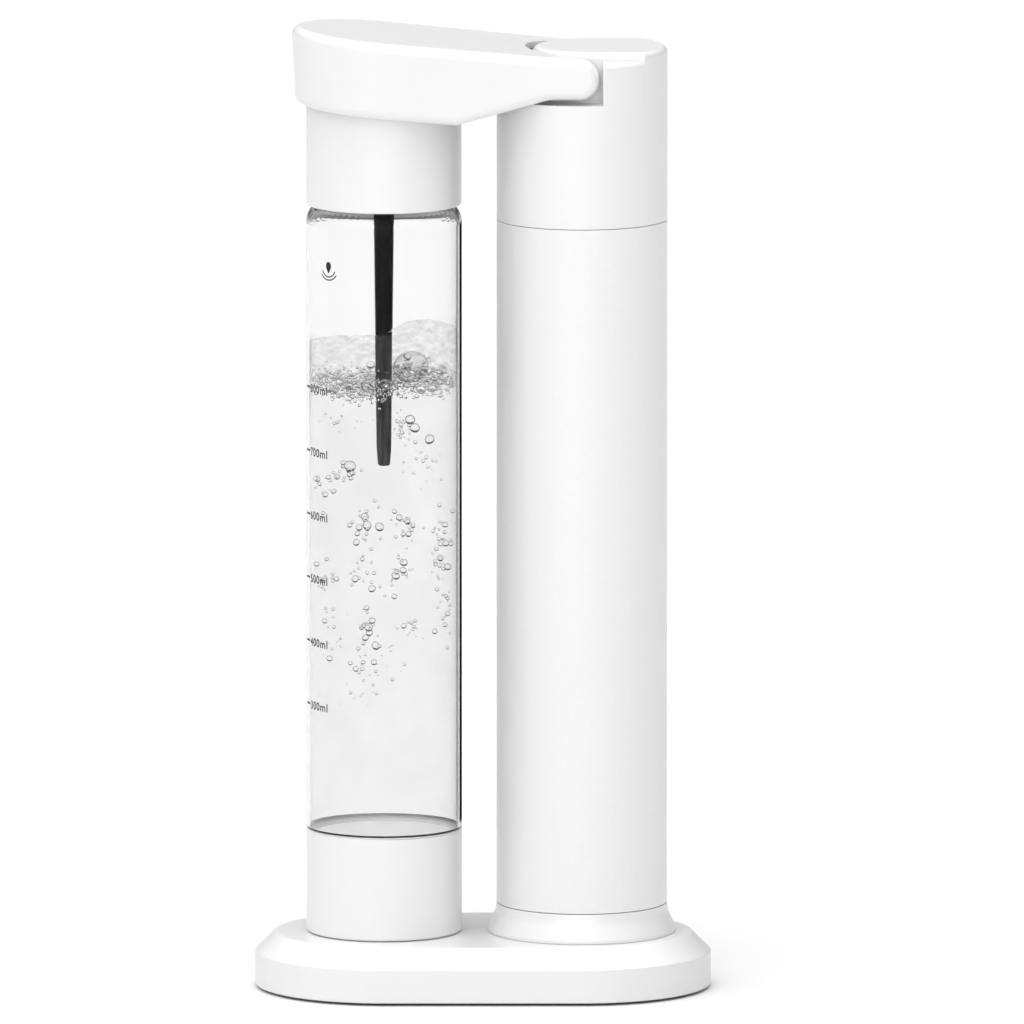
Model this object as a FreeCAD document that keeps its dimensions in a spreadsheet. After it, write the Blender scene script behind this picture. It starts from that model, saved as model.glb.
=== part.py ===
import FreeCAD, Part
import os
import re
import Sketcher

# Soda carbonator: a stadium-shaped base carries a round column with the gas
# cylinder in it. A head arm hinged at the column's top holds the bottle, and a
# lever on the same pin is pressed to open the gas valve.
# +X runs from the bottle's axis to the column's axis, +Z is up, and the origin
# is on the floor, midway between the two axes. All sizes are in millimetres.

doc = FreeCAD.newDocument("soda_carbonator")
sheet = doc.addObject("Spreadsheet::Sheet", "sizes")

SIZES = {
    # whole machine
    "axis_half": 44.0,
    "pivot_x": 42.5,
    "pivot_z": 411.4,
    "bottle_r": 34.6,
    "gap": 0.3,
    "run": 0.05,
    # base
    "base_r": 57.5,
    "base_under": 1.2,
    "base_top": 25.0,
    "base_shoulder": 8.8,
    "base_wall": 3.0,
    "cover_r": 54.2,
    "cover_under": 1.8,
    "cover_thick": 2.6,
    "bore_r": 30.9,
    "screw_x": 62.0,
    "screw_y": 43.0,
    "screw_r": 1.4,
    "foot_pad_x": 70.0,
    "foot_pad_y": 32.0,
    "foot_pad_r": 6.0,
    "weight_r": 40.0,
    "weight_thick": 10.0,
    "mat_r": 31.0,
    "mat_thick": 1.0,
    # cylinder door and its bayonet ring
    "door_r": 33.0,
    "door_ring_top": 13.0,
    "lug_low": 7.5,
    "lug_high": 9.9,
    "lug_reach": 34.4,
    "lug_wide": 11.0,
    # column
    "column_r": 37.95,
    "column_inner": 35.75,
    "foot_r": 41.8,
    "foot_top": 38.0,
    "sleeve_top": 345.1,
    "spigot_inner": 34.7,
    "spigot_outer": 35.6,
    "spigot_reach": 4.0,
    "rod_circle": 33.0,
    "rod_r": 1.5,
    "ledge": 400.4,
    "ledge_thick": 2.5,
    "flange_low": 346.0,
    "flange_high": 351.0,
    "shoulder_top": 419.2,
    "notch_x": 9.2,
    "cap_half": 26.0,
    "cap_centre": 4.0,
    "cap_top": 422.8,
    "cap_wall": 2.5,
    # gas cylinder and valve train
    "cylinder_r": 29.8,
    "cylinder_low": 12.0,
    "cylinder_shoulder": 328.0,
    "cylinder_top": 348.0,
    "cylinder_wall": 3.2,
    "valve_r": 10.7,
    "valve_top": 364.3,
    "block_low": 366.3,
    "block_top": 382.0,
    "plunger_r": 2.9,
    "rocker_x": 14.0,
    "rocker_z": 388.3,
    "push_x": 14.0,
    "push_r": 2.4,
    "push_top": 416.8,
    "deck_screw_low": 390.0,
    "head_screw_low": 391.0,
    # hinge
    "pin_r": 3.0,
    "pin_half": 33.2,
    "bush_r": 4.5,
    "cheek_low": 18.6,
    "cheek_high": 21.0,
    "lug_inner": 13.0,
    "lug_outer": 18.0,
    # arm and carbonating head
    "arm_low": 402.5,
    "arm_high": 408.1,
    "arm_disc_r": 31.0,
    "collar_r": 34.5,
    "collar_low": 351.8,
    "collar_wall": 2.0,
    "head_r": 31.8,
    "head_inner": 28.6,
    "head_low": 360.0,
    "head_face": 389.0,
    "tube_y": 12.0,
    "tube_z": 405.8,
    "tube_r": 1.75,
    # wand
    "wand_tip": 234.4,
    "wand_tip_r": 2.6,
    "wand_stem_r": 5.0,
    # bottle
    "bottle_low": 25.3,
    "cup_top": 71.3,
    "cup_wall": 2.0,
    "bottle_wall": 1.3,
    "bottle_floor": 38.0,
    "shoulder_z": 350.2,
    "neck_z": 355.5,
    "neck_r": 20.5,
    "mouth_z": 386.0,
    "ring_low": 364.0,
    "ring_high": 373.0,
    # lever
    "nose_top_r": 41.3,
    "nose_low_r": 38.4,
    "nose_low": 398.4,
    "belly_x": -11.5,
    "belly_low": 391.4,
    "plan_low": 385.0,
    "plan_high": 436.0,
    "ear_half": 36.0,
    "ear_r": 9.2,
    "deck_slope": 5.2,
    "lever_wall": 2.4,
    "under_lever": 370.0,
    "over_lever": 450.0,
    "lever_cut_x": 45.7,
    "lever_cut_r": 27.0,
}

for row, (alias, number) in enumerate(SIZES.items(), start=1):
    sheet.set(f"A{row}", alias)
    sheet.set(f"B{row}", str(number))
    sheet.setAlias(f"B{row}", alias)
doc.recompute()

ROLES = {"XY": "XY_Plane", "XZ": "XZ_Plane"}
FUNCTIONS = ("tan", "sin", "cos", "sqrt", "deg")
NAME = re.compile(r"[a-z][a-z_]*")
BOTTLE = "-axis_half"
COLUMN = "axis_half"
TILTED_DECK = "pivot_z + ear_r / cos(deck_slope * 1 deg)"
nodes = {}


def bound(expression):
    """The expression with each alias read from the sheet."""
    return NAME.sub(
        lambda found: found[0] if found[0] in FUNCTIONS else "sizes." + found[0],
        expression,
    )


def size(expression):
    """The number that an expression in aliases comes to."""
    return float(sheet.evalExpression(bound(expression)))


def bind(item, prop, expression):
    """Ties a property to the sheet, unless it is a plain zero."""
    if expression != "0":
        item.setExpression(prop, bound(expression))


def place(item, x="0", y="0", z="0"):
    for letter, expression in zip("xyz", (x, y, z)):
        bind(item, f"Placement.Base.{letter}", expression)
    return item


def node(item, label):
    """Marks an object as a sub-part, under the label that names its file."""
    item.Label = label
    nodes[label] = item
    return item


# ---- PartDesign helpers -------------------------------------------------


def new_body(name, x="0", y="0", z="0"):
    return place(doc.addObject("PartDesign::Body", name), x, y, z)


def new_sketch(body, plane="XY", lift="0"):
    """A sketch on one of the body's own origin planes, raised along its normal."""
    origin_plane = next(
        f for f in body.Origin.OriginFeatures if f.Role == ROLES[plane]
    )
    sketch = body.newObject("Sketcher::SketchObject", body.Name + "_sketch")
    sketch.AttachmentSupport = [(origin_plane, "")]
    sketch.MapMode = "FlatFace"
    bind(sketch, "AttachmentOffset.Base.z", lift)
    return sketch


def fix_point(sketch, curve, end, x, y):
    """Holds one end of a curve at a place given by two expressions."""
    for kind, axis, expression in (("DistanceX", -2, x), ("DistanceY", -1, y)):
        if expression == "0":
            sketch.addConstraint(
                Sketcher.Constraint("PointOnObject", curve, end, axis)
            )
        else:
            index = sketch.addConstraint(
                Sketcher.Constraint(kind, -1, 1, curve, end, size(expression))
            )
            bind(sketch, f"Constraints[{index}]", expression)


def fix_radius(sketch, curve, radius):
    index = sketch.addConstraint(
        Sketcher.Constraint("Radius", curve, size(radius))
    )
    bind(sketch, f"Constraints[{index}]", radius)


def draw_polygon(sketch, corners):
    """A closed run of straight lines through corners given as expressions."""
    points = [FreeCAD.Vector(size(x), size(y), 0) for x, y in corners]
    first = sketch.GeometryCount
    count = len(corners)
    for i in range(count):
        sketch.addGeometry(
            Part.LineSegment(points[i], points[(i + 1) % count]), False
        )
    for i in range(count):
        following = first + (i + 1) % count
        sketch.addConstraint(
            Sketcher.Constraint("Coincident", first + i, 2, following, 1)
        )
    for i, (x, y) in enumerate(corners):
        fix_point(sketch, first + i, 1, x, y)


def draw_circle(sketch, x, y, radius):
    centre = FreeCAD.Vector(size(x), size(y), 0)
    curve = sketch.addGeometry(
        Part.Circle(centre, FreeCAD.Vector(0, 0, 1), size(radius)), False
    )
    fix_point(sketch, curve, 3, x, y)
    fix_radius(sketch, curve, radius)


def draw_arc(sketch, x, y, radius, start, end):
    """An arc about a centre, counter-clockwise between two angles in degrees."""
    centre = FreeCAD.Vector(size(x), size(y), 0)
    circle = Part.Circle(centre, FreeCAD.Vector(0, 0, 1), size(radius))
    turn = FreeCAD.Units.Quantity("1 deg").getValueAs("rad").Value
    curve = sketch.addGeometry(
        Part.ArcOfCircle(circle, start * turn, end * turn), False
    )
    fix_point(sketch, curve, 3, x, y)
    fix_radius(sketch, curve, radius)
    return curve


def draw_stadium(sketch, half, radius):
    """Two half circles at plus and minus half along X, joined by tangents."""
    span = size(half)
    reach = size(radius)
    right = draw_arc(sketch, half, "0", radius, -90, 90)
    left = draw_arc(sketch, f"-({half})", "0", radius, 90, 270)
    lower = sketch.addGeometry(
        Part.LineSegment(
            FreeCAD.Vector(-span, -reach, 0), FreeCAD.Vector(span, -reach, 0)
        ),
        False,
    )
    upper = sketch.addGeometry(
        Part.LineSegment(
            FreeCAD.Vector(span, reach, 0), FreeCAD.Vector(-span, reach, 0)
        ),
        False,
    )
    for first, second in ((lower, right), (right, upper), (upper, left), (left, lower)):
        sketch.addConstraint(
            Sketcher.Constraint("Tangent", first, 2, second, 1)
        )


def draw_cap(sketch, inset):
    """The head cap's plan: a half circle at its tip, the column's circle at its back."""
    half = size(f"cap_half - {inset}")
    back = size(f"column_r - {inset}")
    corner = (back * back - half * half) ** 0.5
    tip_x = size("cap_centre")
    tip = draw_arc(sketch, "cap_centre", "0", f"cap_half - {inset}", 90, 270)
    swing = FreeCAD.Vector(corner, half, 0).getAngle(FreeCAD.Vector(1, 0, 0))
    degrees = FreeCAD.Units.Quantity(f"{swing} rad").getValueAs("deg").Value
    rear = draw_arc(sketch, "0", "0", f"column_r - {inset}", -degrees, degrees)
    near = sketch.addGeometry(
        Part.LineSegment(
            FreeCAD.Vector(tip_x, -half, 0), FreeCAD.Vector(corner, -half, 0)
        ),
        False,
    )
    far = sketch.addGeometry(
        Part.LineSegment(
            FreeCAD.Vector(corner, half, 0), FreeCAD.Vector(tip_x, half, 0)
        ),
        False,
    )
    for line in (near, far):
        sketch.addConstraint(Sketcher.Constraint("Horizontal", line))
    sketch.addConstraint(Sketcher.Constraint("Tangent", tip, 2, near, 1))
    sketch.addConstraint(Sketcher.Constraint("Tangent", far, 2, tip, 1))
    sketch.addConstraint(Sketcher.Constraint("Coincident", near, 2, rear, 1))
    sketch.addConstraint(Sketcher.Constraint("Coincident", rear, 2, far, 1))


def pad(body, sketch, length, midplane=False):
    feature = body.newObject("PartDesign::Pad", body.Name + "_pad")
    feature.Profile = sketch
    bind(feature, "Length", length)
    feature.Midplane = midplane
    doc.recompute()
    return feature


def pocket(body, sketch, depth=None, upward=True):
    """A pocket to a depth, or through everything, and a check that it cut."""
    before = body.Shape.Volume
    feature = body.newObject("PartDesign::Pocket", body.Name + "_pocket")
    feature.Profile = sketch
    if depth is None:
        feature.Type = "ThroughAll"
    else:
        bind(feature, "Length", depth)
    feature.Reversed = upward
    doc.recompute()
    if body.Shape.Volume > before - 1e-3:
        raise RuntimeError(f"a pocket of {body.Name} cuts nothing")
    return feature


def turn_profile(body, corners):
    """Revolves a profile of (radius, height) corners about the body's Z axis."""
    sketch = new_sketch(body, "XZ")
    draw_polygon(sketch, corners)
    feature = body.newObject("PartDesign::Revolution", body.Name + "_turn")
    feature.Profile = sketch
    feature.ReferenceAxis = (sketch, ["V_Axis"])
    feature.Angle = 360
    doc.recompute()
    return feature


def edges_at(shape, spots):
    """The names of the edges that pass closest to each spot."""
    names = []
    for spot in spots:
        vertex = Part.Vertex(*spot)
        reach = [edge.distToShape(vertex)[0] for edge in shape.Edges]
        name = f"Edge{reach.index(min(reach)) + 1}"
        if name not in names:
            names.append(name)
    return names


def dress(body, kind, amount, spots):
    """A fillet or chamfer on the edges at the given spots of the body."""
    base = body.Tip
    feature = body.newObject(f"PartDesign::{kind}", f"{body.Name}_{kind.lower()}")
    feature.Base = (base, edges_at(base.Shape, spots))
    bind(feature, "Radius" if kind == "Fillet" else "Size", amount)
    doc.recompute()
    return feature


def turned(label, axis_x, corners, rounds=(), axis_y="0"):
    """A turned sub-part about a vertical axis, with (radius, edge) rounds."""
    body = new_body(label, axis_x, axis_y)
    turn_profile(body, corners)
    for amount, *edges in rounds:
        spots = [(0, size(r), size(z)) for r, z in edges]
        dress(body, "Fillet", amount, spots)
    return body


# ---- Part primitives and booleans ---------------------------------------


def box(name, x, y, z):
    """A box between (low, high) pairs of expressions along each axis."""
    item = doc.addObject("Part::Box", name)
    for prop, (low, high) in zip(("Length", "Width", "Height"), (x, y, z)):
        bind(item, prop, f"({high}) - ({low})")
    return place(item, x[0], y[0], z[0])


def rod(name, radius, x, y, low, high):
    """A cylinder along Z."""
    item = doc.addObject("Part::Cylinder", name)
    bind(item, "Radius", radius)
    bind(item, "Height", f"({high}) - ({low})")
    return place(item, x, y, low)


def cross_rod(name, radius, x, z, low, high):
    """A cylinder along Y, from low to high."""
    item = doc.addObject("Part::Cylinder", name)
    bind(item, "Radius", radius)
    bind(item, "Height", f"({high}) - ({low})")
    item.Placement.Rotation = FreeCAD.Rotation(FreeCAD.Vector(1, 0, 0), -90)
    return place(item, x, low, z)


def fuse(name, shapes):
    item = doc.addObject("Part::MultiFuse", name)
    item.Shapes = shapes
    return item


def cut(name, base, tools):
    """The base less one or more tools."""
    item = doc.addObject("Part::Cut", name)
    item.Base = base
    item.Tool = tools[0] if len(tools) == 1 else fuse(name + "_tools", tools)
    return item


def group(label, shapes):
    """Several like solids in one sub-part."""
    item = doc.addObject("Part::Compound", label)
    item.Links = shapes
    return node(item, label)


def turned_about(name, item, angle, axis_x):
    """Turns an object about a vertical axis at axis_x, from where it is placed."""
    centre = FreeCAD.Vector(size(axis_x), 0, 0)
    turn = FreeCAD.Placement(
        FreeCAD.Vector(), FreeCAD.Rotation(FreeCAD.Vector(0, 0, 1), angle), centre
    )
    holder = doc.addObject("Part::Compound", name)
    holder.Links = [item]
    holder.Placement = turn
    return holder


def around(name, make, count, start, axis_x):
    """Copies of what make(name) gives, evenly spaced about a vertical axis."""
    return [
        turned_about(f"{name}_{i}_at", make(f"{name}_{i}"), start + 360 / count * i, axis_x)
        for i in range(count)
    ]


def both_sides(make):
    """make(sign, name) for the near side and for the far side."""
    return [make("-", "near"), make("", "far")]


def cross_pair(name, radius, x, z, low, high):
    """The same cylinder along Y on both sides, from |y| low to |y| high."""
    return [
        cross_rod(name + "_near", radius, x, z, f"-({high})", f"-({low})"),
        cross_rod(name + "_far", radius, x, z, low, high),
    ]


# ---- base ----------------------------------------------------------------


def screw_places():
    for x in ("-screw_x", "0", "screw_x"):
        for y in ("-screw_y", "screw_y"):
            yield x, y


def rod_places():
    for across in ("-", ""):
        for along in ("-", ""):
            diagonal = "rod_circle * sqrt(2) / 2"
            yield f"axis_half + {across}{diagonal}", f"{along}{diagonal}"


def base_plate():
    body = new_body("base_plate", z="base_under")
    outline = new_sketch(body)
    draw_stadium(outline, "axis_half", "base_r")
    pad(body, outline, "base_top - base_under")
    reach = size("base_r")
    half = size("axis_half")
    top = size("base_top - base_under")
    rim = [(0, -reach, top), (0, reach, top), (-half - reach, 0, top), (half + reach, 0, top)]
    dress(body, "Chamfer", "base_shoulder", rim)
    slope = size("base_shoulder")
    inner = reach - slope
    plateau = [(0, -inner, top), (0, inner, top), (-half - inner, 0, top), (half + inner, 0, top)]
    dress(body, "Fillet", "2.5", plateau)
    low = top - slope
    edge = [(0, -reach, low), (0, reach, low), (-half - reach, 0, low), (half + reach, 0, low)]
    dress(body, "Fillet", "0.6", edge)
    foot = [(x, y, 0) for x, y, z in edge]
    dress(body, "Fillet", "0.8", foot)
    for radius, depth in (
        ("base_r - base_wall", "base_top - base_under - 10.5"),
        ("base_r - 11", "base_top - base_under - 2.8"),
    ):
        hollow = new_sketch(body)
        draw_stadium(hollow, "axis_half", radius)
        pocket(body, hollow, depth)
    bosses = new_sketch(body, lift="cover_under + cover_thick - base_under")
    for x, y in screw_places():
        draw_circle(bosses, x, y, "screw_r + 2.8")
    pad(body, bosses, "base_top - cover_under - cover_thick - 2.5")
    bores = new_sketch(body)
    draw_circle(bores, "axis_half", "0", "bore_r")
    for x, y in rod_places():
        draw_circle(bores, x, y, "rod_r + 0.1")
    pocket(body, bores)
    pilots = new_sketch(body)
    for x, y in screw_places():
        draw_circle(pilots, x, y, "screw_r")
    pocket(body, pilots, "13")
    recess = new_sketch(body, lift="base_top - base_under")
    draw_circle(recess, "-axis_half", "0", "mat_r + 0.2")
    pocket(body, recess, "mat_thick", upward=False)
    node(body, "base_plate")


def bottom_cover():
    body = new_body("bottom_cover_plate", z="cover_under")
    outline = new_sketch(body)
    draw_stadium(outline, "axis_half", "cover_r")
    pad(body, outline, "cover_thick")
    ring = new_sketch(body)
    draw_circle(ring, "axis_half", "0", "door_r + 3.6")
    pad(body, ring, "door_ring_top - cover_under")
    holes = new_sketch(body)
    draw_circle(holes, "axis_half", "0", "door_r + 0.4")
    for x, y in screw_places():
        draw_circle(holes, x, y, "screw_r + 0.1")
    pocket(body, holes)
    heads = new_sketch(body)
    for x, y in screw_places():
        draw_circle(heads, x, y, "screw_r + 1.6")
    pocket(body, heads, "1.6")
    groove = turned(
        "door_groove",
        COLUMN,
        [
            ("door_r - 1", "lug_low - gap"),
            ("door_r + 2.3", "lug_low - gap"),
            ("door_r + 2.3", "lug_high + gap"),
            ("door_r - 1", "lug_high + gap"),
        ],
    )
    slots = around(
        "door_slot",
        lambda name: box(
            name,
            ("axis_half + door_r - 2", "axis_half + door_r + 2.3"),
            ("-lug_wide / 2 - 1", "lug_wide / 2 + 1"),
            ("cover_under - 1", "lug_low + 1"),
        ),
        3,
        15,
        COLUMN,
    )
    node(cut("bottom_cover", body, [groove, *slots]), "bottom_cover")


def base_fittings():
    node(
        rod("base_weight", "weight_r", BOTTLE, "0", "cover_under + cover_thick",
            "cover_under + cover_thick + weight_thick"),
        "base_weight",
    )
    pads = []
    for i, (x, y) in enumerate(
        (a + "foot_pad_x", b + "foot_pad_y") for a in ("-", "") for b in ("-", "")
    ):
        pads.append(
            turned(
                f"foot_pad_{i}",
                x,
                [("0", "0"), ("foot_pad_r", "0"), ("foot_pad_r", "cover_under"), ("0", "cover_under")],
                [("0.5", ("foot_pad_r", "0"))],
                axis_y=y,
            )
        )
    group("rubber_feet", pads)
    screws = [
        turned(
            f"base_screw_{i}",
            x,
            [
                ("0", "cover_under + 0.1"),
                ("screw_r + 1.4", "cover_under + 0.1"),
                ("screw_r + 1.4", "cover_under + 1.6"),
                ("screw_r", "cover_under + 1.6"),
                ("screw_r", "13"),
                ("0", "13"),
            ],
            axis_y=y,
        )
        for i, (x, y) in enumerate(screw_places())
    ]
    group("base_screws", screws)
    node(
        rod("bottle_mat", "mat_r", BOTTLE, "0", "base_top - mat_thick", "base_top"),
        "bottle_mat",
    )


def cylinder_door():
    disc = turned(
        "door_disc",
        COLUMN,
        [
            ("0", "cover_under"),
            ("door_r", "cover_under"),
            ("door_r", "lug_high + 0.7"),
            ("door_r - 2.6", "lug_high + 0.7"),
            ("door_r - 2.6", "cover_under + cover_thick"),
            ("0", "cover_under + cover_thick"),
        ],
        [("0.4", ("door_r", "cover_under"))],
    )
    lugs = around(
        "door_lug",
        lambda name: box(
            name,
            ("axis_half + door_r - 1.5", "axis_half + lug_reach"),
            ("-lug_wide / 2", "lug_wide / 2"),
            ("lug_low", "lug_high"),
        ),
        3,
        -30,
        COLUMN,
    )
    grips = both_sides(
        lambda sign, side: box(
            f"door_grip_{side}",
            ("axis_half - 15", "axis_half + 15"),
            (("-15", "-4") if sign else ("4", "15")),
            ("cover_under - 1", "cover_under + 1.6"),
        )
    )
    node(cut("cylinder_door", fuse("door_with_lugs", [disc, *lugs]), grips), "cylinder_door")
    node(
        rod("door_cushion", "22", COLUMN, "0", "cover_under + cover_thick", "cylinder_low - 0.4"),
        "door_cushion",
    )


# ---- column --------------------------------------------------------------


def column_foot():
    body = turned(
        "column_foot",
        COLUMN,
        [
            ("spigot_inner", "base_top"),
            ("foot_r", "base_top"),
            ("foot_r", "base_top + 1.6"),
            ("column_r + 0.6", "foot_top - 4"),
            ("column_r", "foot_top"),
            ("spigot_outer", "foot_top"),
            ("spigot_outer", "foot_top + spigot_reach"),
            ("spigot_inner", "foot_top + spigot_reach"),
        ],
        [
            ("12", ("column_r + 0.6", "foot_top - 4")),
            ("0.7", ("foot_r", "base_top"), ("foot_r", "base_top + 1.6")),
        ],
    )
    node(body, "column_foot")


def column_sleeve():
    body = turned(
        "column_sleeve",
        COLUMN,
        [
            ("column_inner", "foot_top + gap"),
            ("column_r", "foot_top + gap"),
            ("column_r", "sleeve_top"),
            ("column_inner", "sleeve_top"),
        ],
        [("0.3", ("column_r", "foot_top + gap"), ("column_r", "sleeve_top"))],
    )
    node(body, "column_sleeve")


def column_head():
    seam = "sleeve_top + gap"
    body = new_body("column_head", COLUMN)
    turn_profile(
        body,
        [
            ("spigot_inner", f"{seam} - spigot_reach"),
            ("spigot_outer", f"{seam} - spigot_reach"),
            ("spigot_outer", seam),
            ("column_r", seam),
            ("column_r", "shoulder_top"),
            ("0", "shoulder_top"),
            ("0", "ledge - ledge_thick"),
            ("spigot_outer", "ledge - ledge_thick"),
            ("spigot_outer", "flange_high"),
            ("rod_circle - 3.4", "flange_high"),
            ("rod_circle - 3.4", "flange_low"),
            ("spigot_inner", "flange_low"),
        ],
    )
    notch = new_sketch(body, lift="ledge")
    draw_polygon(notch, [("-45", "-45"), ("notch_x", "-45"), ("notch_x", "45"), ("-45", "45")])
    pocket(body, notch)
    channel = new_sketch(body, lift="ledge")
    draw_polygon(
        channel,
        [
            ("notch_x - 1", "-cap_half - 0.15"),
            ("45", "-cap_half - 0.15"),
            ("45", "cap_half + 0.15"),
            ("notch_x - 1", "cap_half + 0.15"),
        ],
    )
    pocket(body, channel)
    rods = new_sketch(body, lift="flange_low - 6")
    for x, y in rod_places():
        draw_circle(rods, x.replace("axis_half + ", ""), y, "rod_r + 0.1")
    pocket(body, rods, "12")
    holes = new_sketch(body, lift="ledge - 8")
    draw_circle(holes, "push_x - axis_half", "0", "push_r + 1.6")
    draw_circle(holes, "8.5", "10.5", "2.2")
    for x, y in post_places():
        draw_circle(holes, x, y, "1.55")
    pocket(body, holes, "12")
    top = size("shoulder_top")
    outer = [(19.0, side * 32.85, top) for side in (-1, 1)]
    dress(body, "Fillet", "3", outer)
    wall = size("notch_x")
    small = [(wall, side * 30.0, top) for side in (-1, 1)]
    dress(body, "Fillet", "0.8", small)
    node(body, "column_head")


def head_cap():
    body = new_body("head_cap", COLUMN)
    outline = new_sketch(body, lift="ledge")
    draw_cap(outline, "0")
    pad(body, outline, "cap_top - ledge")
    top = size("cap_top")
    half = size("cap_half")
    tip = size("cap_centre - cap_half")
    rim = [(tip, 0, top), (size("column_r"), 0, top), (15, -half, top), (15, half, top)]
    dress(body, "Fillet", "3", rim)
    hollow = new_sketch(body, lift="ledge")
    draw_cap(hollow, "cap_wall")
    pocket(body, hollow, "cap_top - ledge - cap_wall - 0.5")
    mouth = new_sketch(body, lift="ledge")
    draw_polygon(mouth, [("-24", "-19"), ("-4", "-19"), ("-4", "19"), ("-24", "19")])
    pocket(body, mouth, "cap_top - ledge - cap_wall - 0.5")
    bored = cut(
        "head_cap_bored",
        body,
        [cross_rod("cap_bore", "pin_r + run", "pivot_x", "pivot_z", "-40", "40")],
    )
    node(bored, "head_cap")


def column_rods():
    rods = []
    nuts = []
    for i, (x, y) in enumerate(rod_places()):
        rods.append(rod(f"tie_rod_{i}", "rod_r", x, y, "19.5", "flange_high + 4"))
        for end, low in (("low", "base_top - 5.8"), ("high", "flange_high")):
            nut = rod(f"rod_nut_{end}_{i}", "rod_r + 0.8", x, y, low, f"{low} + 3")
            bore = rod(f"rod_nut_bore_{end}_{i}", "rod_r", x, y, low, f"{low} + 3")
            nuts.append(cut(f"rod_nut_cut_{end}_{i}", nut, [bore]))
    group("tie_rods", rods)
    group("tie_rod_nuts", nuts)
    guide = turned(
        "cylinder_guide",
        COLUMN,
        [
            ("cylinder_r + 0.4", "base_top"),
            ("rod_circle - rod_r - gap", "base_top"),
            ("rod_circle - rod_r - gap", "base_top + 22"),
            ("cylinder_r + 0.4", "base_top + 22"),
        ],
    )
    node(guide, "cylinder_guide")


# ---- gas cylinder and valve train ----------------------------------------


def gas_cylinder():
    inner = "cylinder_r - cylinder_wall"
    body = turned(
        "gas_cylinder",
        COLUMN,
        [
            ("0", "cylinder_low + 3"),
            ("14", "cylinder_low"),
            ("cylinder_r", "cylinder_low"),
            ("cylinder_r", "cylinder_shoulder"),
            ("13", "342"),
            ("13", "cylinder_top"),
            ("8.05", "cylinder_top"),
            ("8.05", "338"),
            (inner, "326"),
            (inner, "cylinder_low + 4"),
            ("14", "cylinder_low + 4"),
            ("0", "cylinder_low + 7"),
        ],
        [("7", ("cylinder_r", "cylinder_low")), ("20", ("cylinder_r", "cylinder_shoulder"))],
    )
    node(body, "gas_cylinder")
    valve = turned(
        "cylinder_valve",
        COLUMN,
        [
            ("0", "333"),
            ("8", "333"),
            ("8", "cylinder_top"),
            ("valve_r", "cylinder_top"),
            ("valve_r", "valve_top"),
            ("4", "valve_top"),
            ("4", "valve_top - 3"),
            ("0", "valve_top - 3"),
        ],
        [("0.8", ("valve_r", "valve_top"))],
    )
    node(valve, "cylinder_valve")


def post_places():
    for x in ("-14", "22"):
        for y in ("-13", "13"):
            yield x, y


def valve_block():
    block = box(
        "block_body",
        ("axis_half - 17", "axis_half + 26"),
        ("-16", "16"),
        ("block_low", "block_top"),
    )
    ears = [
        box(
            f"block_ear_{side}",
            ("axis_half + rocker_x - 4.5", "axis_half + rocker_x + 4.5"),
            (low, high),
            ("block_top", "rocker_z + 4.7"),
        )
        for side, low, high in (("near", "-8.2", "-4.4"), ("far", "4.4", "8.2"))
    ]
    bores = [
        rod("block_bore", "plunger_r + run", COLUMN, "0", "block_low - 1", "block_top + 1"),
        cross_rod("block_pin_bore", "1.5", "axis_half + rocker_x", "rocker_z", "-9", "9"),
    ]
    node(cut("valve_block", fuse("block_with_ears", [block, *ears]), bores), "valve_block")
    node(
        cross_rod("rocker_pin", "1.5", "axis_half + rocker_x", "rocker_z", "-8.2", "8.2"),
        "rocker_pin",
    )
    socket = turned(
        "cylinder_socket",
        COLUMN,
        [
            ("valve_r + 0.08", "350"),
            ("16", "350"),
            ("16", "block_low"),
            ("valve_r + 0.08", "block_low"),
        ],
        [("1", ("16", "350"))],
    )
    node(socket, "cylinder_socket")
    seal = turned(
        "valve_seal",
        COLUMN,
        [
            ("3.5", "valve_top + gap"),
            ("9", "valve_top + gap"),
            ("9", "block_low"),
            ("3.5", "block_low"),
        ],
    )
    node(seal, "valve_seal")
    posts = []
    screws = []
    for i, (x, y) in enumerate(post_places()):
        at = f"axis_half + {x}"
        post = rod(f"post_{i}", "3", at, y, "block_top", "ledge - ledge_thick")
        bore = rod(f"post_bore_{i}", "1.5", at, y, "deck_screw_low", "ledge")
        posts.append(cut(f"post_cut_{i}", post, [bore]))
        seat = "ledge" if x == "-14" else "ledge + 2.5"
        screws.append(
            turned(
                f"deck_screw_{i}",
                at,
                [
                    ("0", "deck_screw_low"),
                    ("1.5", "deck_screw_low"),
                    ("1.5", seat),
                    ("2.8", seat),
                    ("2.8", f"{seat} + 1.4"),
                    ("0", f"{seat} + 1.4"),
                ],
                axis_y=y,
            )
        )
    group("valve_posts", posts)
    group("deck_screws", screws)


def valve_motion():
    plunger = turned(
        "valve_plunger",
        COLUMN,
        [
            ("0", "block_low + 0.6"),
            ("plunger_r", "block_low + 0.6"),
            ("plunger_r", "rocker_z - 2 - gap"),
            ("0", "rocker_z - 2 - gap"),
        ],
        [("0.6", ("plunger_r", "rocker_z - 2 - gap"))],
    )
    node(plunger, "valve_plunger")
    bar = box(
        "rocker_bar",
        ("push_x - 3", "axis_half + rocker_x"),
        ("-3.9", "3.9"),
        ("rocker_z - 2", "rocker_z + 2"),
    )
    hub = cross_rod("rocker_hub", "4.2", "axis_half + rocker_x", "rocker_z", "-3.9", "3.9")
    stub = rod("rocker_stub", "2.2", "push_x", "0", "rocker_z + 1", "ledge + 0.2")
    bore = cross_rod("rocker_bore", "1.5 + run", "axis_half + rocker_x", "rocker_z", "-5", "5")
    node(cut("valve_rocker", fuse("rocker_solid", [bar, hub, stub]), [bore]), "valve_rocker")


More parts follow.
